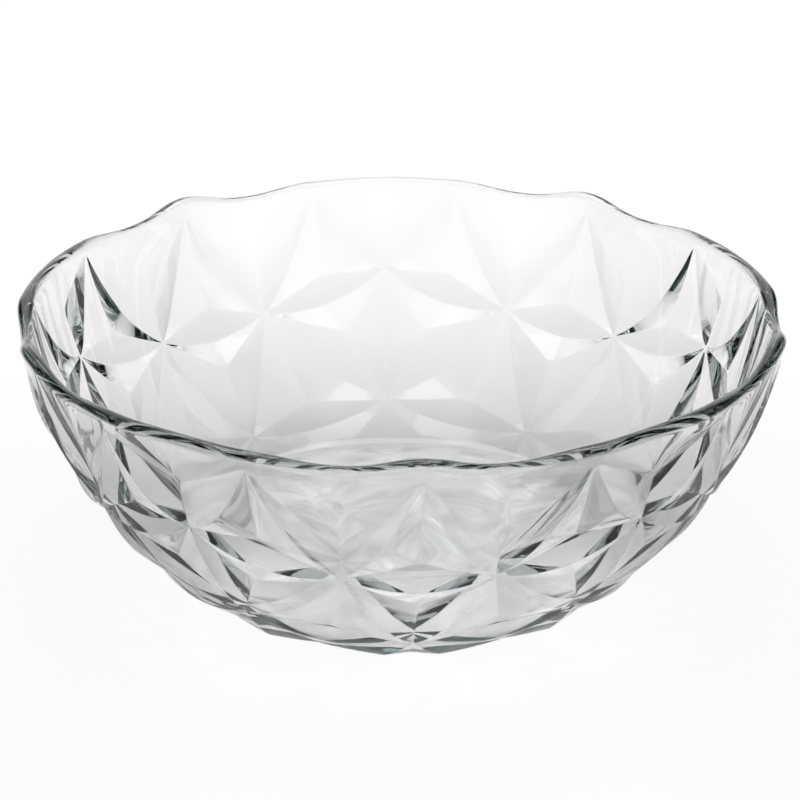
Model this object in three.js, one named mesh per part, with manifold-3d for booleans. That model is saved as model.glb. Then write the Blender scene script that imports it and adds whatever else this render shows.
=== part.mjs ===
// A pressed glass serving bowl, in millimetres, +Z up, standing on the table at z = 0.
// The inside is a smooth bowl. The outside is a lattice of stars: the stars' rays are arched
// ridges that stand out from the wall, and between every three stars the glass is scooped out
// in three shallow facets. The rim follows the top row of facets, so it is scalloped.

import * as THREE from 'three';
import { mergeVertices } from 'three/addons/utils/BufferGeometryUtils.js';
import Module from 'manifold-3d';

// Outer wall: an arc turned about the axis, fixed by its place and slope at the star tips
const TIP_RADIUS = 128.7;
const TIP_LEVEL = 86.7;
const WALL_ARC_RADIUS = 163.8;
const WALL_FLARE_DEGREES = 12.8;

// Glass thickness, measured in from the wall's arc, and the thickness of the bottom
const WALL = 5.6;
const FLOOR = 5.5;
const INSIDE_FILLET = 9;

// Heights of the rows of stars above the table, and the radius of the row under the base
const FIVE_RAY_STAR_LEVEL = 57.5;
const SIX_RAY_STAR_LEVEL = 46.1;
const LOW_STAR_LEVEL = 15.7;
const FOOT_STAR_LEVEL = 9.6;
const UNDER_STAR_RADIUS = 59;

// The low stars are pressed in from the wall by this much
const LOW_STAR_INSET = 1.8;

// In the middle a ridge hangs down the wall, by this much at the table's level and more so the
// higher it is, and stands out from the wall by the height of its crest
const TABLE_SAG = 1.6;
const SAG_PER_HEIGHT = 0.062;
const RIDGE_CREST = 1;

// Rim: rise above the star tips, how far the flats between tips dent it inward, and how
// sharply it falls from a tip
const LONG_TIP_RISE = 4.3;
const SHORT_TIP_RISE = 2.5;
const FIVE_RAY_RIM_RISE = 3.1;
const SIX_RAY_RIM_RISE = 0.5;
const FIVE_RAY_RIM_DENT = 0.7;
const SIX_RAY_RIM_DENT = 1.8;
const LIP_RISE = 2.3;
const DIP_SHARPNESS = 2.5;

// Where a triangle's three facets meet: how deep under the wall, and the share of the odd corner
// in that place. The valleys to it deepen with a power, and a cove rounds the facets' cross-section.
const UPRIGHT_DEPTH = 1.9;
const HANGING_DEPTH = 1.8;
const TOP_DEPTH = 1.7;
const VALLEY_EASE = 1.1;
const COVE = 0.1;
const UPRIGHT_APEX_SHARE = 0.18;
const HANGING_FOOT_SHARE = 0.36;
const FIVE_RAY_TOP_SHARE = 0.4;
const SIX_RAY_TOP_SHARE = 0.69;

// Counts: the star lattice repeats five times round the bowl, with three tips each time
const SECTORS = 5;
const TIPS = 3 * SECTORS;
const RIDGE_STEPS = 8;
const FACET_ROWS = 2;
const LIP_STEPS = 4;
const INSIDE_STEPS = 7;
const FILLET_STEPS = 4;

const UP = new THREE.Vector3(0, 0, 1);
const TIP_SPACING = 360 / TIPS;
const SECTOR_SPACING = 360 / SECTORS;
const flare = THREE.MathUtils.degToRad(WALL_FLARE_DEGREES);
const arcCentreRadius = TIP_RADIUS - WALL_ARC_RADIUS * Math.cos(flare);
const arcCentreHeight = TIP_LEVEL + WALL_ARC_RADIUS * Math.sin(flare);

// Radius of an arc about the wall's centre of curvature, at a height
function arcRadius(radius, height) {
  return arcCentreRadius + Math.sqrt(radius ** 2 - (arcCentreHeight - height) ** 2);
}

// A point from its azimuth (degrees from the front, to the right), radius and height
function turned(azimuth, radius, height) {
  const angle = THREE.MathUtils.degToRad(azimuth);
  return new THREE.Vector3(radius * Math.sin(angle), -radius * Math.cos(angle), height);
}

function onWall(azimuth, height, inset = 0) {
  return turned(azimuth, arcRadius(WALL_ARC_RADIUS, height) - inset, height);
}

// The wall's centre of curvature in the plane of the axis and a point
function curvatureCentre(point) {
  const out = new THREE.Vector3(point.x, point.y, 0).normalize();
  return out.multiplyScalar(arcCentreRadius).setZ(arcCentreHeight);
}

// Height of a point above the wall's arc, along the wall's normal
function reliefHeight(point) {
  return point.distanceTo(curvatureCentre(point)) - WALL_ARC_RADIUS;
}

// The point moved along the wall's normal to a height above the arc
function atHeight(point, height) {
  const centre = curvatureCentre(point);
  return point.clone().sub(centre).setLength(WALL_ARC_RADIUS + height).add(centre);
}

// The lattice: rows of stars from the rim down to the middle of the underside
const hasFiveRays = (index) => index % 3 === 1;
const isLongTip = (index) => index % 3 === 0;
const ringIndex = (index) => (index + TIPS) % TIPS;

const tips = [];
const upperStars = [];
for (let i = 0; i < TIPS; i++) {
  const level = hasFiveRays(i) ? FIVE_RAY_STAR_LEVEL : SIX_RAY_STAR_LEVEL;
  tips.push(onWall(i * TIP_SPACING, TIP_LEVEL));
  upperStars.push(onWall((i + 0.5) * TIP_SPACING, level));
}

const lowStars = [];
const footStars = [];
const underStars = [];
const underDrop = Math.sqrt(WALL_ARC_RADIUS ** 2 - (UNDER_STAR_RADIUS - arcCentreRadius) ** 2);
for (let k = 0; k < SECTORS; k++) {
  const middle = (k + 0.5) * SECTOR_SPACING;
  lowStars.push(onWall(middle, LOW_STAR_LEVEL, LOW_STAR_INSET));
  footStars.push(onWall(k * SECTOR_SPACING, FOOT_STAR_LEVEL));
  underStars.push(turned(middle, UNDER_STAR_RADIUS, arcCentreHeight - underDrop));
}
const pole = new THREE.Vector3(0, 0, underStars[0].z);

// Ridge between two stars: the chord, plus a parabola that hangs down the wall, with the crest
// rising as another parabola above the height of the two stars
function ridge(start, end) {
  const middle = start.clone().add(end).multiplyScalar(0.5);
  const outward = middle.clone().sub(curvatureCentre(middle)).normalize();
  const downhill = outward.clone().multiplyScalar(outward.z).sub(UP).normalize();
  const sag = downhill.multiplyScalar(TABLE_SAG + SAG_PER_HEIGHT * middle.z);
  const points = [];
  for (let s = 0; s <= RIDGE_STEPS; s++) {
    const share = s / RIDGE_STEPS;
    const arch = 4 * share * (1 - share);
    const point = start.clone().lerp(end, share).addScaledVector(sag, arch);
    const stars = THREE.MathUtils.lerp(reliefHeight(start), reliefHeight(end), share);
    points.push(atHeight(point, stars + RIDGE_CREST * arch));
  }
  return points;
}

// Valley between two stars: straight to the meeting point and on, deepening toward that point
function valley(start, meeting, end) {
  const points = [];
  for (let s = 0; s <= RIDGE_STEPS; s++) {
    const share = 2 * s / RIDGE_STEPS;
    const star = share <= 1 ? start : end;
    const ramp = share <= 1 ? share : 2 - share;
    const point = star.clone().lerp(meeting, ramp);
    const depth = THREE.MathUtils.lerp(reliefHeight(star), reliefHeight(meeting), ramp ** VALLEY_EASE);
    points.push(atHeight(point, depth));
  }
  return points;
}

// All surfaces go into one list of triangles, seen anticlockwise from outside
const corners = [];

// Strip of triangles between two lines of points with the same count
function strip(lower, upper) {
  for (let s = 0; s + 1 < lower.length; s++) {
    const [a, b, c, d] = [lower[s], lower[s + 1], upper[s + 1], upper[s]];
    if (a.distanceTo(b) > 0 && b.distanceTo(c) > 0) corners.push(a, b, c);
    if (a.distanceTo(d) > 0 && c.distanceTo(d) > 0) corners.push(a, c, d);
  }
}

// A facet lies between a ridge and the valley over the triangle's meeting point, in a shallow cove
function facet(start, end, meeting) {
  const crest = ridge(start, end);
  const bottom = valley(start, meeting, end);
  let lower = crest;
  for (let row = 1; row <= FACET_ROWS; row++) {
    const rest = 1 - row / FACET_ROWS;
    const fall = (1 - COVE) * rest + COVE * rest ** 2;
    const upper = crest.map((point, s) => {
      const height = THREE.MathUtils.lerp(reliefHeight(bottom[s]), reliefHeight(point), fall);
      return atHeight(bottom[s].clone().lerp(point, rest), height);
    });
    strip(lower, upper);
    lower = upper;
  }
}

function meetingPoint(odd, oddShare, first, second, depth) {
  const mean = first.clone().add(second).multiplyScalar((1 - oddShare) / 2);
  return atHeight(mean.addScaledVector(odd, oddShare), -depth);
}

// Upright triangle of three facets: two stars below, one above
function uprightTriangle(left, right, apex) {
  const meeting = meetingPoint(apex, UPRIGHT_APEX_SHARE, left, right, UPRIGHT_DEPTH);
  facet(left, right, meeting);
  facet(right, apex, meeting);
  facet(apex, left, meeting);
}

// Hanging triangle of three facets: two stars above, one below
function hangingTriangle(left, right, foot) {
  const meeting = meetingPoint(foot, HANGING_FOOT_SHARE, left, right, HANGING_DEPTH);
  facet(right, left, meeting);
  facet(foot, right, meeting);
  facet(left, foot, meeting);
}

// Outer edge of the rim over one top facet: it dips and dents between two tips
function rimEdge(index) {
  const five = hasFiveRays(index);
  const dipRise = five ? FIVE_RAY_RIM_RISE : SIX_RAY_RIM_RISE;
  const dent = five ? FIVE_RAY_RIM_DENT : SIX_RAY_RIM_DENT;
  const leftRise = isLongTip(index) ? LONG_TIP_RISE : SHORT_TIP_RISE;
  const rightRise = isLongTip(index + 1) ? LONG_TIP_RISE : SHORT_TIP_RISE;
  const points = [];
  for (let s = 0; s <= RIDGE_STEPS; s++) {
    const share = s / RIDGE_STEPS;
    const dip = 1 - Math.abs(Math.cos(Math.PI * share)) ** DIP_SHARPNESS;
    const tipRise = leftRise + (rightRise - leftRise) * (1 - Math.cos(Math.PI * share)) / 2;
    const height = TIP_LEVEL + tipRise + (dipRise - tipRise) * dip;
    const radius = arcRadius(WALL_ARC_RADIUS, height) - dent * dip;
    points.push(turned((index + share) * TIP_SPACING, radius, height));
  }
  return points;
}

// Top triangle: two leaf facets beside its star, and the plain facet up to the rim
function topTriangle(index) {
  const star = upperStars[index];
  const left = tips[index];
  const right = tips[ringIndex(index + 1)];
  const share = hasFiveRays(index) ? FIVE_RAY_TOP_SHARE : SIX_RAY_TOP_SHARE;
  const meeting = meetingPoint(star, share, left, right, TOP_DEPTH);
  facet(star, right, meeting);
  facet(left, star, meeting);
  strip(valley(left, meeting, right), rimEdge(index));
}

for (let i = 0; i < TIPS; i++) {
  topTriangle(i);
  uprightTriangle(upperStars[ringIndex(i - 1)], upperStars[i], tips[i]);
}

for (let k = 0; k < SECTORS; k++) {
  const next = (k + 1) % SECTORS;
  const five = upperStars[3 * k + 1];
  const [before, after] = [upperStars[3 * k], upperStars[3 * k + 2]];
  const beyond = upperStars[ringIndex(3 * k + 3)];
  hangingTriangle(before, five, lowStars[k]);
  hangingTriangle(five, after, lowStars[k]);
  hangingTriangle(after, beyond, footStars[next]);
  uprightTriangle(lowStars[k], footStars[next], after);
  uprightTriangle(footStars[next], lowStars[next], beyond);
  hangingTriangle(lowStars[k], footStars[next], underStars[k]);
  hangingTriangle(footStars[next], lowStars[next], underStars[next]);
  uprightTriangle(underStars[k], underStars[next], footStars[next]);
  const underRidge = ridge(underStars[next], underStars[k]);
  strip(underRidge, underRidge.map(() => pole));
}

// Inside: an arc parallel to the wall, a fillet, and a flat bottom, as rings round the axis
const insideRadius = WALL_ARC_RADIUS - WALL;
const filletHeight = FLOOR + INSIDE_FILLET;
const filletRadius = arcRadius(insideRadius - INSIDE_FILLET, filletHeight);
const filletStart = Math.atan2(arcCentreHeight - filletHeight, filletRadius - arcCentreRadius);

const outerRim = [];
for (let i = 0; i < TIPS; i++) outerRim.push(...rimEdge(i).slice(0, -1));

// One column of the lip and the inside, from a point of the outer rim to the flat bottom
function insideColumn(rimPoint) {
  const outerRadius = Math.hypot(rimPoint.x, rimPoint.y);
  const azimuth = THREE.MathUtils.radToDeg(Math.atan2(rimPoint.x, -rimPoint.y));
  const innerRadius = arcRadius(insideRadius, rimPoint.z);
  const lipMiddle = (outerRadius + innerRadius) / 2;
  const lipHalf = (outerRadius - innerRadius) / 2;
  const column = [rimPoint];
  for (let s = 1; s < LIP_STEPS; s++) {
    const angle = Math.PI * s / LIP_STEPS;
    const radius = lipMiddle + lipHalf * Math.cos(angle);
    column.push(turned(azimuth, radius, rimPoint.z + LIP_RISE * Math.sin(angle)));
  }
  const rimSlope = Math.asin((arcCentreHeight - rimPoint.z) / insideRadius);
  for (let s = 0; s <= INSIDE_STEPS; s++) {
    const slope = rimSlope + (filletStart - rimSlope) * s / INSIDE_STEPS;
    const radius = arcCentreRadius + insideRadius * Math.cos(slope);
    column.push(turned(azimuth, radius, arcCentreHeight - insideRadius * Math.sin(slope)));
  }
  for (let s = 1; s <= FILLET_STEPS; s++) {
    const slope = filletStart + (Math.PI / 2 - filletStart) * s / FILLET_STEPS;
    const radius = filletRadius + INSIDE_FILLET * Math.cos(slope);
    column.push(turned(azimuth, radius, filletHeight - INSIDE_FILLET * Math.sin(slope)));
  }
  return column;
}

const columns = outerRim.map(insideColumn);
columns.push(columns[0]);
const insideMiddle = new THREE.Vector3(0, 0, FLOOR);
for (let row = 0; row < columns[0].length; row++) {
  const ring = columns.map((column) => column[row]);
  const last = row + 1 === columns[0].length;
  strip(ring, last ? ring.map(() => insideMiddle) : columns.map((column) => column[row + 1]));
}

// A closed mesh as a solid for cutting, with points closer than this joined
const JOIN_DISTANCE = 1e-3;
const wasm = await Module();
wasm.setup();

function solid(geometry) {
  geometry.deleteAttribute('normal');
  geometry.deleteAttribute('uv');
  const merged = mergeVertices(geometry, JOIN_DISTANCE);
  const vertProperties = new Float32Array(merged.attributes.position.array);
  const triVerts = new Uint32Array(merged.index.array);
  return new wasm.Manifold(new wasm.Mesh({ numProp: 3, vertProperties, triVerts }));
}

// The base is ground flat: everything under the table's level is cut away
const pressed = solid(new THREE.BufferGeometry().setFromPoints(corners));
const spread = 3 * TIP_RADIUS;
const aboveTable = new THREE.BoxGeometry(spread, spread, spread).translate(0, 0, spread / 2);
const ground = pressed.intersect(solid(aboveTable)).getMesh();

const bowlGeometry = new THREE.BufferGeometry();
bowlGeometry.setAttribute('position', new THREE.BufferAttribute(ground.vertProperties, 3));
bowlGeometry.setIndex(new THREE.BufferAttribute(ground.triVerts, 1));
bowlGeometry.computeVertexNormals();

const clearGlass = new THREE.MeshStandardMaterial({
  color: 0xdfe6e7,
  roughness: 0.03,
  metalness: 0,
  transparent: true,
  opacity: 0.45,
});

const glassBowl = new THREE.Mesh(bowlGeometry, clearGlass);
glassBowl.name = 'glass_bowl';

const bowl = new THREE.Group();
bowl.add(glassBowl);

export default bowl;
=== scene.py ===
# A pressed glass serving bowl on a plain pale floor, seen from a little above its rim.

import math

import bpy
import numpy as np
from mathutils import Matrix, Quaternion, Vector


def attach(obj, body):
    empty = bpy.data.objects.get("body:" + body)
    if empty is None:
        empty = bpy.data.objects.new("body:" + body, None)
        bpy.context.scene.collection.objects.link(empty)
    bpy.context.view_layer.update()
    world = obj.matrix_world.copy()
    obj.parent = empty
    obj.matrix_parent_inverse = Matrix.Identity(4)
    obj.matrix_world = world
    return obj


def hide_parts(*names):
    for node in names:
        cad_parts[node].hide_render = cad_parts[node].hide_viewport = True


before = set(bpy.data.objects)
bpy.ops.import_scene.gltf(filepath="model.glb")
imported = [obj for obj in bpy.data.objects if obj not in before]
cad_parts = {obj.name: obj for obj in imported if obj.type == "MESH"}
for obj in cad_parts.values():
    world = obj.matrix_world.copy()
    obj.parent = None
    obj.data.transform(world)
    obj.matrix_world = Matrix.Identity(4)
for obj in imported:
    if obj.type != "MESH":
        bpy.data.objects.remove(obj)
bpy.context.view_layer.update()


# Outside of the bowl: a star lattice in relief, from the foot up to the scalloped rim.
# It is one moulding of clear soda-lime glass. The mould's cut facets leave the arched ridges
# and the shallow triangles between them, and fire polishing rounds their edges a little.

MM = 0.001

# The wall is an arc turned about the axis, in millimetres above the table
TIP_RADIUS = 128.7
TIP_LEVEL = 86.7
WALL_ARC_RADIUS = 163.8
WALL_FLARE = math.radians(12.8)
ARC_CENTRE_RADIUS = TIP_RADIUS - WALL_ARC_RADIUS * math.cos(WALL_FLARE)
ARC_CENTRE_HEIGHT = TIP_LEVEL + WALL_ARC_RADIUS * math.sin(WALL_FLARE)

# Rows of stars from the rim down, and the row that the flat base cuts off
SECTORS = 5
TIPS = 3 * SECTORS
TIP_SPACING = 360 / TIPS
SECTOR_SPACING = 360 / SECTORS
FIVE_RAY_STAR_LEVEL = 57.5
SIX_RAY_STAR_LEVEL = 46.1
LOW_STAR_LEVEL = 15.7
FOOT_STAR_LEVEL = 9.6
UNDER_STAR_RADIUS = 59.0
LOW_STAR_INSET = 1.8

# In the middle a ridge hangs down the wall, more so the higher it is, and stands out from the wall
TABLE_SAG = 1.6
SAG_PER_HEIGHT = 0.062
RIDGE_CREST = 1.0

# Where a triangle's facets meet: how deep under the wall, and the odd corner's share of the place.
# The valleys to it deepen with a power, and a slight cove hollows the facets.
UPRIGHT_DEPTH = 1.9
HANGING_DEPTH = 1.8
TOP_DEPTH = 1.7
VALLEY_EASE = 1.1
COVE = 0.1
UPRIGHT_APEX_SHARE = 0.18
HANGING_FOOT_SHARE = 0.36
FIVE_RAY_TOP_SHARE = 0.4
SIX_RAY_TOP_SHARE = 0.69

# Rim heights above the star tips, and the dents of the flats between the tips
LONG_TIP_RISE = 4.3
SHORT_TIP_RISE = 2.5
FIVE_RAY_RIM_RISE = 3.1
SIX_RAY_RIM_RISE = 0.5
FIVE_RAY_RIM_DENT = 0.7
SIX_RAY_RIM_DENT = 1.8
DIP_SHARPNESS = 2.5

# Steps along a ridge and across a facet
ALONG_STEPS = 28
ACROSS_STEPS = 10
along = np.linspace(0, 1, ALONG_STEPS + 1)
across = (1 - np.cos(np.pi * np.linspace(0, 1, ACROSS_STEPS + 1))) / 2


def arc_radius(radius, height):
    """Radius at a height on an arc about the wall's centre: centre + sqrt(radius² - drop²)."""
    return ARC_CENTRE_RADIUS + np.sqrt(radius**2 - (ARC_CENTRE_HEIGHT - height) ** 2)


def turned(azimuth, radius, height):
    """Points (r sin a, -r cos a, h) for azimuths a in degrees from the front, to the right."""
    angle = np.radians(azimuth)
    parts = (radius * np.sin(angle), -radius * np.cos(angle), height)
    return np.stack(np.broadcast_arrays(*parts), axis=-1).astype(float)


def on_wall(azimuth, height, inset=0.0):
    """Points of the wall's arc at azimuths and heights, less an inset from its radius."""
    return turned(azimuth, arc_radius(WALL_ARC_RADIUS, height) - inset, height)


def unit(vectors):
    """Vectors divided by their lengths."""
    return vectors / np.linalg.norm(vectors, axis=-1, keepdims=True)


def curvature_centre(points):
    """Centre of the wall's arc in the plane of the axis and each point."""
    outward = unit(points * (1, 1, 0))
    return outward * ARC_CENTRE_RADIUS + np.array((0, 0, ARC_CENTRE_HEIGHT))


def relief_height(points):
    """Height of points above the wall's arc, along its normal."""
    return np.linalg.norm(points - curvature_centre(points), axis=-1) - WALL_ARC_RADIUS


def at_height(points, height):
    """Points moved along the wall's normal to heights above the wall's arc."""
    centre = curvature_centre(points)
    return centre + unit(points - centre) * (WALL_ARC_RADIUS + height)[..., None]


def ridge(start, end):
    """Chord + 4 s (1 - s) sag, at the height of its ends + 4 s (1 - s) crest above the wall."""
    middle = (start + end) / 2
    outward = unit(middle - curvature_centre(middle))
    downhill = unit(outward * outward[:, 2:] - np.array((0, 0, 1)))
    sag = downhill * (TABLE_SAG + SAG_PER_HEIGHT * middle[:, 2:])
    share = along[None, :, None]
    arch = 4 * along * (1 - along)
    chord = start[:, None] * (1 - share) + end[:, None] * share
    ends = relief_height(start)[:, None] * (1 - along) + relief_height(end)[:, None] * along
    return at_height(chord + sag[:, None] * arch[:, None], ends + RIDGE_CREST * arch)


def valley(start, meeting, end):
    """Straight from start to meeting point at s = 1/2 and on to end, deepening as ramp^ease."""
    first = np.clip(2 * along, 0, 1)[None, :, None]
    second = np.clip(2 * along - 1, 0, 1)[None, :, None]
    path = start[:, None] + (meeting - start)[:, None] * first + (end - meeting)[:, None] * second
    star = np.where(along < 0.5, relief_height(start)[:, None], relief_height(end)[:, None])
    ramp = (1 - np.abs(2 * along - 1)) ** VALLEY_EASE
    return at_height(path, star + (relief_height(meeting)[:, None] - star) * ramp)


def ruled(lower, upper):
    """Grid of straight lines between two edges: lower (1 - t) + upper t."""
    share = across[None, :, None, None]
    return lower[:, None] * (1 - share) + upper[:, None] * share


def facet(start, end, meeting):
    """From ridge to valley; the height falls as (1 - k)(1 - t) + k (1 - t)², a shallow cove."""
    lower = ridge(start, end)
    upper = valley(start, meeting, end)
    fall = (1 - COVE) * (1 - across) + COVE * (1 - across) ** 2
    deep = relief_height(upper)[:, None]
    height = deep + (relief_height(lower)[:, None] - deep) * fall[None, :, None]
    return at_height(ruled(lower, upper), height)


def meeting_point(odd, odd_share, first, second, depth):
    """Weighted mean of the three corners, moved to a depth under the wall."""
    share = np.reshape(odd_share, (-1, 1))
    mean = (first + second) * (1 - share) / 2 + odd * share
    return at_height(mean, np.full(len(mean), -depth))


def upright(left, right, apex):
    """Three facets of a triangle with two stars below and one above."""
    meeting = meeting_point(apex, UPRIGHT_APEX_SHARE, left, right, UPRIGHT_DEPTH)
    return [facet(left, right, meeting), facet(right, apex, meeting), facet(apex, left, meeting)]


def hanging(left, right, foot):
    """Three facets of a triangle with two stars above and one below."""
    meeting = meeting_point(foot, HANGING_FOOT_SHARE, left, right, HANGING_DEPTH)
    return [facet(right, left, meeting), facet(foot, right, meeting), facet(left, foot, meeting)]


def rim_edges(five_ray, left_rise, right_rise):
    """Outer rim over each top triangle: tip heights blended, less a dip 1 - |cos πs|^sharpness."""
    dip = 1 - np.abs(np.cos(np.pi * along)) ** DIP_SHARPNESS
    blend = (1 - np.cos(np.pi * along)) / 2
    tip_rise = left_rise[:, None] + (right_rise - left_rise)[:, None] * blend
    dip_rise = np.where(five_ray, FIVE_RAY_RIM_RISE, SIX_RAY_RIM_RISE)[:, None]
    dent = np.where(five_ray, FIVE_RAY_RIM_DENT, SIX_RAY_RIM_DENT)[:, None]
    height = TIP_LEVEL + tip_rise + (dip_rise - tip_rise) * dip
    radius = arc_radius(WALL_ARC_RADIUS, height) - dent * dip
    azimuth = (np.arange(TIPS)[:, None] + along) * TIP_SPACING
    return turned(azimuth, radius, height)


tip_index = np.arange(TIPS)
sector = np.arange(SECTORS)
five_ray = tip_index % 3 == 1
star_level = np.where(five_ray, FIVE_RAY_STAR_LEVEL, SIX_RAY_STAR_LEVEL)
tips = on_wall(tip_index * TIP_SPACING, TIP_LEVEL)
upper_stars = on_wall((tip_index + 0.5) * TIP_SPACING, star_level)
low_stars = on_wall((sector + 0.5) * SECTOR_SPACING, LOW_STAR_LEVEL, LOW_STAR_INSET)
foot_stars = on_wall(sector * SECTOR_SPACING, FOOT_STAR_LEVEL)
under_drop = math.sqrt(WALL_ARC_RADIUS**2 - (UNDER_STAR_RADIUS - ARC_CENTRE_RADIUS) ** 2)
under_level = ARC_CENTRE_HEIGHT - under_drop
under_stars = turned((sector + 0.5) * SECTOR_SPACING, UNDER_STAR_RADIUS, under_level)

next_tips = np.roll(tips, -1, axis=0)
tip_rise = np.where(tip_index % 3 == 0, LONG_TIP_RISE, SHORT_TIP_RISE)
rim = rim_edges(five_ray, tip_rise, np.roll(tip_rise, -1))
top_share = np.where(five_ray, FIVE_RAY_TOP_SHARE, SIX_RAY_TOP_SHARE)
top_meeting = meeting_point(upper_stars, top_share, tips, next_tips, TOP_DEPTH)
before, five, after = upper_stars[0::3], upper_stars[1::3], upper_stars[2::3]
beyond = np.roll(before, -1, axis=0)
next_foot = np.roll(foot_stars, -1, axis=0)
next_low = np.roll(low_stars, -1, axis=0)
next_under = np.roll(under_stars, -1, axis=0)
pole = np.tile((0.0, 0.0, under_level), (SECTORS, 1))
under_ridge = ridge(next_under, under_stars)

outside_patches = [
    facet(upper_stars, next_tips, top_meeting),
    facet(tips, upper_stars, top_meeting),
    ruled(valley(tips, top_meeting, next_tips), rim),
    *upright(np.roll(upper_stars, 1, axis=0), upper_stars, tips),
    *hanging(before, five, low_stars),
    *hanging(five, after, low_stars),
    *hanging(after, beyond, next_foot),
    *upright(low_stars, next_foot, after),
    *upright(next_foot, next_low, beyond),
    *hanging(low_stars, next_foot, under_stars),
    *hanging(next_foot, next_low, next_under),
    *upright(under_stars, next_under, next_foot),
    ruled(under_ridge, np.broadcast_to(pole[:, None], under_ridge.shape)),
]


# Inside of the bowl: the smooth face that the plunger leaves, of the same glass.
# It runs from the rounded lip down an arc parallel to the wall, through a small fillet,
# to the flat bottom, and the underside is ground flat so that the bowl stands steady.

WALL = 5.6
FLOOR = 5.5
INSIDE_FILLET = 9.0
LIP_RISE = 2.3
BASE_EDGE = 0.6

LIP_STEPS = 8
INSIDE_STEPS = 36
FILLET_STEPS = 14
BOTTOM_STEPS = 6
SOFTENING_ROUNDS = 1
WELD_DIGITS = 4

INSIDE_ARC_RADIUS = WALL_ARC_RADIUS - WALL
FILLET_HEIGHT = FLOOR + INSIDE_FILLET
FILLET_RADIUS = arc_radius(INSIDE_ARC_RADIUS - INSIDE_FILLET, FILLET_HEIGHT)
FILLET_START = math.atan2(ARC_CENTRE_HEIGHT - FILLET_HEIGHT, FILLET_RADIUS - ARC_CENTRE_RADIUS)


def inside_grid(rim_line):
    """Rows from the rim inward: half round lip, arc of the inside radius, fillet, flat bottom."""
    outer = np.hypot(rim_line[:, 0], rim_line[:, 1])
    azimuth = np.degrees(np.arctan2(rim_line[:, 0], -rim_line[:, 1]))
    height = rim_line[:, 2]
    inner = arc_radius(INSIDE_ARC_RADIUS, height)
    lip_angle = np.linspace(0, np.pi, LIP_STEPS + 1)[:-1, None]
    lip_radius = (outer + inner) / 2 + (outer - inner) / 2 * np.cos(lip_angle)
    lip = turned(azimuth, lip_radius, height + LIP_RISE * np.sin(lip_angle))

    rim_slope = np.arcsin((ARC_CENTRE_HEIGHT - height) / INSIDE_ARC_RADIUS)
    share = np.linspace(0, 1, INSIDE_STEPS + 1)[:, None]
    slope = rim_slope + (FILLET_START - rim_slope) * share
    arc_points = turned(
        azimuth,
        ARC_CENTRE_RADIUS + INSIDE_ARC_RADIUS * np.cos(slope),
        ARC_CENTRE_HEIGHT - INSIDE_ARC_RADIUS * np.sin(slope),
    )

    bend = np.linspace(FILLET_START, np.pi / 2, FILLET_STEPS + 1)[1:, None]
    fillet = turned(
        azimuth,
        FILLET_RADIUS + INSIDE_FILLET * np.cos(bend),
        FILLET_HEIGHT - INSIDE_FILLET * np.sin(bend),
    )
    inward = np.linspace(1, 0, BOTTOM_STEPS + 1)[1:, None]
    bottom = turned(azimuth, FILLET_RADIUS * inward, np.full_like(inward, FLOOR))
    return np.concatenate([lip, arc_points, fillet, bottom])


def grid_triangles(grids):
    """Points of stacked grids, and two triangles for each of their cells, anticlockwise outside."""
    index = np.arange(grids[..., 0].size).reshape(grids.shape[:-1])
    a, b = index[:, :-1, :-1], index[:, :-1, 1:]
    c, d = index[:, 1:, 1:], index[:, 1:, :-1]
    cells = np.concatenate([np.stack([a, b, c], -1), np.stack([a, c, d], -1)])
    return grids.reshape(-1, 3), cells.reshape(-1, 3)


def welded(points, triangles):
    """One vertex for each place, without the triangles that then have no area."""
    places, vertex = np.unique(np.round(points, WELD_DIGITS), axis=0, return_inverse=True)
    triangles = vertex.reshape(-1)[triangles]
    a, b, c = triangles.T
    return places, triangles[(a != b) & (b != c) & (c != a)]


def softened(points, triangles, rounds):
    """Each round moves every vertex half way to the mean of its neighbours, which rounds edges."""
    edges = np.concatenate([triangles[:, [0, 1]], triangles[:, [1, 2]], triangles[:, [2, 0]]])
    count = np.bincount(edges[:, 0], minlength=len(points))
    for _ in range(rounds):
        sums = [np.bincount(edges[:, 0], points[edges[:, 1], k], len(points)) for k in range(3)]
        points = (points + np.stack(sums, -1) / count[:, None]) / 2
    return points


outside = np.concatenate(outside_patches)
outside[..., 2] = BASE_EDGE * np.logaddexp(0, outside[..., 2] / BASE_EDGE)
rim_line = rim[:, :-1].reshape(-1, 3)
inside = inside_grid(rim_line)
inside = np.concatenate([inside, inside[:, :1]], axis=1)[None]

outside_points, outside_cells = grid_triangles(outside)
inside_points, inside_cells = grid_triangles(inside)
bowl_points, bowl_triangles = welded(
    np.concatenate([outside_points, inside_points]),
    np.concatenate([outside_cells, inside_cells + len(outside_points)]),
)
bowl_points = softened(bowl_points, bowl_triangles, SOFTENING_ROUNDS)

bowl_mesh = bpy.data.meshes.new("pressed_bowl")
bowl_mesh.vertices.add(len(bowl_points))
bowl_mesh.vertices.foreach_set("co", (bowl_points * MM).ravel())
bowl_mesh.loops.add(bowl_triangles.size)
bowl_mesh.loops.foreach_set("vertex_index", bowl_triangles.ravel())
bowl_mesh.polygons.add(len(bowl_triangles))
bowl_mesh.polygons.foreach_set("loop_start", np.arange(0, bowl_triangles.size, 3))
bowl_mesh.update(calc_edges=True)
bowl_mesh.validate()
bowl_mesh.shade_smooth()

bowl = bpy.data.objects.new("pressed_bowl", bowl_mesh)
bpy.context.collection.objects.link(bowl)
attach(bowl, "root")
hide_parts("glass_bowl")


# Glass of the bowl: clear soda-lime glass with a faint grey-green tint that only shows where
# the light passes through much of it, as in the rim. Fire polishing leaves it smooth, with the
# slow waves and the slightly uneven gloss of pressed glass.

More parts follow.
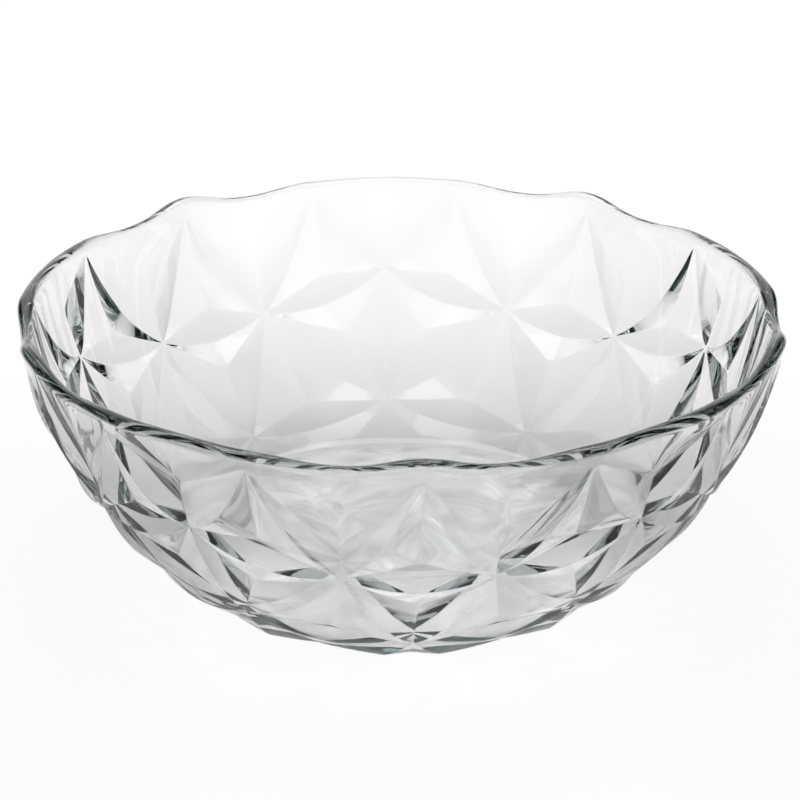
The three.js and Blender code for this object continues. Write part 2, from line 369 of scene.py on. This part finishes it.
GLASS_IOR = 1.52
GLASS_TINT = (0.75, 0.785, 0.782, 1)
TINT_DENSITY = 60.0
CLEAR = (1.0, 1.0, 1.0, 1)
PALEST = (0.975, 0.985, 0.985, 1)
WAVE_SCALE = 55.0
WAVE_DETAIL = 1.5
WAVE_DEPTH = 0.00004
GLOSS_SCALE = 240.0
GLOSS_DETAIL = 3.0
GLOSS_LOW = 0.0
GLOSS_HIGH = 0.02


def add_node(tree, kind, **inputs):
    """A node of a kind with some of its inputs set, their names written with underscores."""
    node = tree.nodes.new(kind)
    for name, value in inputs.items():
        node.inputs[name.replace("_", " ")].default_value = value
    return node


def clear_glass():
    """Principled glass with tint by depth; noise gives its waves, its gloss and its colour."""
    material = bpy.data.materials.new("clear_pressed_glass")
    material.use_nodes = True
    tree = material.node_tree
    shader = tree.nodes["Principled BSDF"]
    output = tree.nodes["Material Output"]
    shader.inputs["Transmission Weight"].default_value = 1.0
    shader.inputs["IOR"].default_value = GLASS_IOR

    place = add_node(tree, "ShaderNodeTexCoord").outputs["Object"]
    waves = add_node(tree, "ShaderNodeTexNoise", Scale=WAVE_SCALE, Detail=WAVE_DETAIL)
    bump = add_node(tree, "ShaderNodeBump", Strength=1.0, Distance=WAVE_DEPTH)
    gloss = add_node(tree, "ShaderNodeTexNoise", Scale=GLOSS_SCALE, Detail=GLOSS_DETAIL)
    gloss_range = add_node(tree, "ShaderNodeMapRange", To_Min=GLOSS_LOW, To_Max=GLOSS_HIGH)
    colour = tree.nodes.new("ShaderNodeValToRGB")
    colour.color_ramp.elements[0].color = PALEST
    colour.color_ramp.elements[1].color = CLEAR
    tint = add_node(tree, "ShaderNodeVolumeAbsorption", Color=GLASS_TINT, Density=TINT_DENSITY)

    tree.links.new(place, waves.inputs["Vector"])
    tree.links.new(place, gloss.inputs["Vector"])
    tree.links.new(waves.outputs["Fac"], bump.inputs["Height"])
    tree.links.new(waves.outputs["Fac"], colour.inputs["Fac"])
    tree.links.new(gloss.outputs["Fac"], gloss_range.inputs["Value"])
    tree.links.new(bump.outputs["Normal"], shader.inputs["Normal"])
    tree.links.new(gloss_range.outputs["Result"], shader.inputs["Roughness"])
    tree.links.new(colour.outputs["Color"], shader.inputs["Base Color"])
    tree.links.new(tint.outputs["Volume"], output.inputs["Volume"])
    return material


bowl_mesh.materials.append(clear_glass())


# Floor: a plain pale matt table that the bowl stands on, wide enough to fill every view.
# A little light of its own brings it up to white, also for what the glass shows. It does so less
# under the bowl, where the lower glow is a painted shadow of the bowl, and in the shade beside the bowl,
# and stands for the uneven light that the glass lets through under its near side, as painted patches
# of light. The camera sees the floor whiter still, with a trace of the bowl's soft shadow.

FLOOR_HALF_WIDTH = 4.0
FLOOR_GAP = 0.0002
FLOOR_COLOUR = (0.8, 0.775, 0.785, 1)
CAMERA_WHITE = 0.9

# Glow under the middle of the bowl and away from it, with the distances between which it rises.
# The lower glow under the bowl is a painted shadow of the bowl.
PAINTED_SHADOW_GLOW = 0.15
FLOOR_GLOW = 0.34
GLOW_START = 0.06
GLOW_FULL = 0.3
GLOW_COLOUR = (1.0, 0.96, 0.975, 1)

# Uneven light under the near side: where it starts from the back and from outside, and its patches
NEAR_GLOW = 0.16
NEAR_START = 0.1
NEAR_FULL = 0.03
BOWL_START = 0.13
BOWL_FULL = 0.1
PATCH_SCALE = 32.0
PATCH_DETAIL = 2.0
PATCH_DISTORTION = 2.0
PATCH_NOISE_LOW = 0.3
PATCH_NOISE_HIGH = 0.7
PATCH_LOW = 0.0
PATCH_HIGH = 2.0

# Shade beside the bowl: the share it takes, and where it starts sideways, from the back and outside
SHADE = 0.9
SHADE_START = 0.05
SHADE_FULL = 0.12
SHADE_BACK_START = 0.15
SHADE_BACK_FULL = 0.03
SHADE_REACH_START = 0.32
SHADE_REACH_FULL = 0.2


def value_range(tree, value, start, end, curve="SMOOTHSTEP"):
    """0 below start, 1 above end and a smooth or a linear step between them."""
    step = add_node(tree, "ShaderNodeMapRange", From_Min=start, From_Max=end)
    step.interpolation_type = curve
    tree.links.new(value, step.inputs["Value"])
    return step.outputs["Result"]


def math_node(tree, operation, first, second=None, number=0.0):
    """One Math node on one or two linked values, or on a value and a number."""
    node = tree.nodes.new("ShaderNodeMath")
    node.operation = operation
    node.inputs[1].default_value = number
    tree.links.new(first, node.inputs[0])
    if second is not None:
        tree.links.new(second, node.inputs[1])
    return node.outputs["Value"]


def pale_floor():
    """Matt near-white, plus a glow that only rays from the camera, a mirror or glass get, with painted
    shade under and beside the bowl and painted patches of light under its near side.
    """
    material = bpy.data.materials.new("pale_floor")
    material.use_nodes = True
    tree = material.node_tree
    tree.nodes.remove(tree.nodes["Principled BSDF"])
    place = add_node(tree, "ShaderNodeTexCoord").outputs["Object"]
    reach = tree.nodes.new("ShaderNodeVectorMath")
    reach.operation = "LENGTH"
    tree.links.new(place, reach.inputs[0])
    path = tree.nodes.new("ShaderNodeLightPath")
    camera_ray = path.outputs["Is Camera Ray"]
    mirrored = math_node(tree, "MAXIMUM", camera_ray, path.outputs["Is Glossy Ray"])
    seen = math_node(tree, "MAXIMUM", mirrored, path.outputs["Is Transmission Ray"])
    # Glow rising from under the bowl outward: a painted shadow of the bowl on the floor
    away = value_range(tree, reach.outputs["Value"], GLOW_START, GLOW_FULL, "LINEAR")
    rise = math_node(tree, "MULTIPLY", away, number=FLOOR_GLOW - PAINTED_SHADOW_GLOW)
    glow_with_painted_shadow = math_node(tree, "ADD", rise, number=PAINTED_SHADOW_GLOW)

    axes = tree.nodes.new("ShaderNodeSeparateXYZ")
    tree.links.new(place, axes.inputs["Vector"])
    nearer = value_range(tree, axes.outputs["Y"], NEAR_START, NEAR_FULL)
    under = value_range(tree, reach.outputs["Value"], BOWL_START, BOWL_FULL)
    patches = add_node(tree, "ShaderNodeTexNoise", Scale=PATCH_SCALE, Detail=PATCH_DETAIL)
    patches.inputs["Distortion"].default_value = PATCH_DISTORTION
    tree.links.new(place, patches.inputs["Vector"])
    uneven = add_node(tree, "ShaderNodeMapRange", From_Min=PATCH_NOISE_LOW, From_Max=PATCH_NOISE_HIGH)
    uneven.inputs["To Min"].default_value = PATCH_LOW * NEAR_GLOW
    uneven.inputs["To Max"].default_value = PATCH_HIGH * NEAR_GLOW
    tree.links.new(patches.outputs["Fac"], uneven.inputs["Value"])
    passed = math_node(tree, "MULTIPLY", nearer, under)
    near_glow = math_node(tree, "MULTIPLY", passed, uneven.outputs["Result"])
    whole_glow = math_node(tree, "ADD", glow_with_painted_shadow, near_glow)

    aside = math_node(tree, "ABSOLUTE", axes.outputs["X"])
    beside = value_range(tree, aside, SHADE_START, SHADE_FULL)
    front = value_range(tree, axes.outputs["Y"], SHADE_BACK_START, SHADE_BACK_FULL)
    close = value_range(tree, reach.outputs["Value"], SHADE_REACH_START, SHADE_REACH_FULL)
    beside_front = math_node(tree, "MULTIPLY", beside, front)
    shade = math_node(tree, "MULTIPLY", beside_front, close)
    loss = math_node(tree, "MULTIPLY", shade, number=-SHADE)
    kept = math_node(tree, "ADD", loss, number=1.0)
    glow_level = math_node(tree, "MULTIPLY", whole_glow, kept)
    glow_seen = math_node(tree, "MULTIPLY", glow_level, seen)

    matt = add_node(tree, "ShaderNodeBsdfDiffuse", Color=FLOOR_COLOUR)
    glow = add_node(tree, "ShaderNodeEmission", Color=GLOW_COLOUR)
    white = add_node(tree, "ShaderNodeEmission", Strength=1.0)
    lit = tree.nodes.new("ShaderNodeAddShader")
    surface = tree.nodes.new("ShaderNodeMixShader")
    tree.links.new(glow_seen, glow.inputs["Strength"])
    tree.links.new(matt.outputs["BSDF"], lit.inputs[0])
    tree.links.new(glow.outputs["Emission"], lit.inputs[1])
    white_share = math_node(tree, "MULTIPLY", camera_ray, number=CAMERA_WHITE)
    tree.links.new(white_share, surface.inputs["Fac"])
    tree.links.new(lit.outputs["Shader"], surface.inputs[1])
    tree.links.new(white.outputs["Emission"], surface.inputs[2])
    tree.links.new(surface.outputs["Shader"], tree.nodes["Material Output"].inputs["Surface"])
    return material


corner = np.array([(-1, -1, 0), (1, -1, 0), (1, 1, 0), (-1, 1, 0)]) * FLOOR_HALF_WIDTH
corner[:, 2] = -FLOOR_GAP
floor_mesh = bpy.data.meshes.new("floor")
floor_mesh.from_pydata(corner.tolist(), [], [(0, 1, 2, 3)])
floor_mesh.materials.append(pale_floor())
floor = bpy.data.objects.new("floor", floor_mesh)
bpy.context.collection.objects.link(floor)


# Light: a plain soft studio. White behind, above and in front of the bowl, and the unlit room
# to its left and right, which draws the dark lines in the glass. A soft lamp hangs over and
# behind the bowl. The camera sees only white.

STUDIO_WHITE = (1.15, 1.13, 1.15, 1)
ROOM_DARK = (0.02, 0.035, 0.04, 1)
SIDE_START = 0.3
SIDE_FULL = 0.5
FRONT_START = 0.25
FRONT_FULL = 0.6
LAMP_PLACE = Vector((0, 0.35, 0.95))
LAMP_AIM = Vector((0, 0.1, 0))
LAMP_WIDTH = 0.7
LAMP_DEPTH = 0.5
LAMP_WATTS = 2.7

world = bpy.data.worlds.new("studio")
bpy.context.scene.world = world
world.use_nodes = True
studio = world.node_tree
direction = studio.nodes.new("ShaderNodeSeparateXYZ")
studio.links.new(studio.nodes.new("ShaderNodeTexCoord").outputs["Generated"], direction.inputs["Vector"])
sideways = math_node(studio, "ABSOLUTE", direction.outputs["X"])
to_side = value_range(studio, sideways, SIDE_START, SIDE_FULL)
forward = math_node(studio, "MULTIPLY", direction.outputs["Y"], number=-1.0)
to_front = value_range(studio, forward, FRONT_START, FRONT_FULL)
seen_by_camera = studio.nodes.new("ShaderNodeLightPath").outputs["Is Camera Ray"]
lit_side = math_node(studio, "MAXIMUM", to_front, seen_by_camera)
away = math_node(studio, "SUBTRACT", to_side, lit_side)
dark_share = math_node(studio, "MAXIMUM", away, number=0.0)
room = add_node(studio, "ShaderNodeMixRGB", Color1=STUDIO_WHITE, Color2=ROOM_DARK)
background = studio.nodes["Background"]
background.inputs["Strength"].default_value = 1.0
studio.links.new(dark_share, room.inputs["Fac"])
studio.links.new(room.outputs["Color"], background.inputs["Color"])

lamp_data = bpy.data.lights.new("soft_lamp", "AREA")
lamp_data.shape = "RECTANGLE"
lamp_data.size = LAMP_WIDTH
lamp_data.size_y = LAMP_DEPTH
lamp_data.energy = LAMP_WATTS
lamp = bpy.data.objects.new("soft_lamp", lamp_data)
lamp.location = LAMP_PLACE
lamp.rotation_mode = "QUATERNION"
lamp.rotation_quaternion = (LAMP_AIM - LAMP_PLACE).to_track_quat("-Z", "Y")
bpy.context.collection.objects.link(lamp)


# Camera: a long lens a little above the rim, turned a few degrees to the bowl's left.

CAMERA_ELEVATION = math.radians(23.91)
CAMERA_AZIMUTH = math.radians(-3.1)
CAMERA_ROLL = math.radians(0.34)
CAMERA_DISTANCE = 0.9472
AIM_HEIGHT = 0.05606
SENSOR_WIDTH = 36.0
LENS = 125.0
ALL_BOUNCES = 32
MIRROR_BOUNCES = 12
GLASS_BOUNCES = 24

back = Vector((
    math.sin(CAMERA_AZIMUTH) * math.cos(CAMERA_ELEVATION),
    -math.cos(CAMERA_AZIMUTH) * math.cos(CAMERA_ELEVATION),
    math.sin(CAMERA_ELEVATION),
))
camera_data = bpy.data.cameras.new("camera")
camera_data.sensor_width = SENSOR_WIDTH
camera_data.lens = LENS
camera = bpy.data.objects.new("camera", camera_data)
camera.location = Vector((0, 0, AIM_HEIGHT)) + back * CAMERA_DISTANCE
camera.rotation_mode = "QUATERNION"
camera.rotation_quaternion = (-back).to_track_quat("-Z", "Y") @ Quaternion((0, 0, 1), CAMERA_ROLL)
bpy.context.collection.objects.link(camera)
bpy.context.scene.camera = camera
bpy.context.scene.view_settings.view_transform = "Standard"

# Light is reflected many times inside the wall before it leaves the glass
light_paths = bpy.context.scene.cycles
light_paths.max_bounces = ALL_BOUNCES
light_paths.glossy_bounces = MIRROR_BOUNCES
light_paths.transmission_bounces = GLASS_BOUNCES
